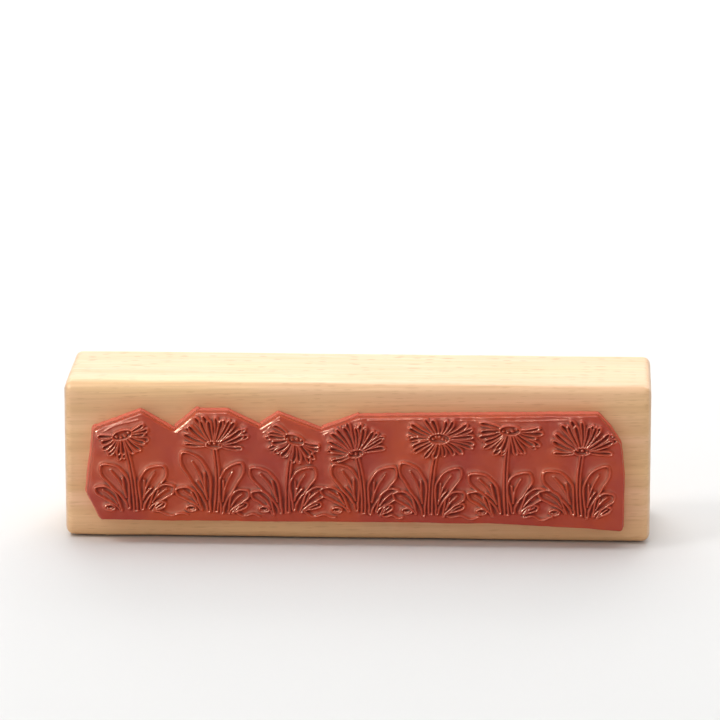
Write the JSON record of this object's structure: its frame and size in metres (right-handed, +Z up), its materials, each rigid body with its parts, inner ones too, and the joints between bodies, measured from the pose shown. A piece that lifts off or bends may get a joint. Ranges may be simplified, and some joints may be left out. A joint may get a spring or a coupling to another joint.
{
  "type": "rubber stamp",
  "caption": "Long wood-mounted rubber stamp: rounded beech block, foam cushion and moulded red die with a daisy border, and its black index print on the opposite face.",
  "frame": {"origin": "middle of the wood block's long side that it stands on", "axes": "+X along the block, -Y out of the stamping side, +Y out of the printed side, +Z up"},
  "size_m": [0.11, 0.0293, 0.03],
  "materials": {
    "beech_wood": "sanded, unfinished",
    "adhesive_film": "satin",
    "cushion_foam": "matte, fine closed cells",
    "red_rubber": "matte moulded",
    "black_ink": "matte"
  },
  "bodies": {
    "root": {"wood_block": "beech_wood", "block_adhesive": "adhesive_film", "foam_cushion": "cushion_foam", "die_adhesive": "adhesive_film", "rubber_die": "red_rubber", "index_print_daisy_1": "black_ink", "index_print_daisy_2": "black_ink", "index_print_daisy_3": "black_ink", "index_print_daisy_4": "black_ink", "index_print_daisy_5": "black_ink", "index_print_daisy_6": "black_ink", "index_print_daisy_7": "black_ink"}
  },
  "joints": []
}
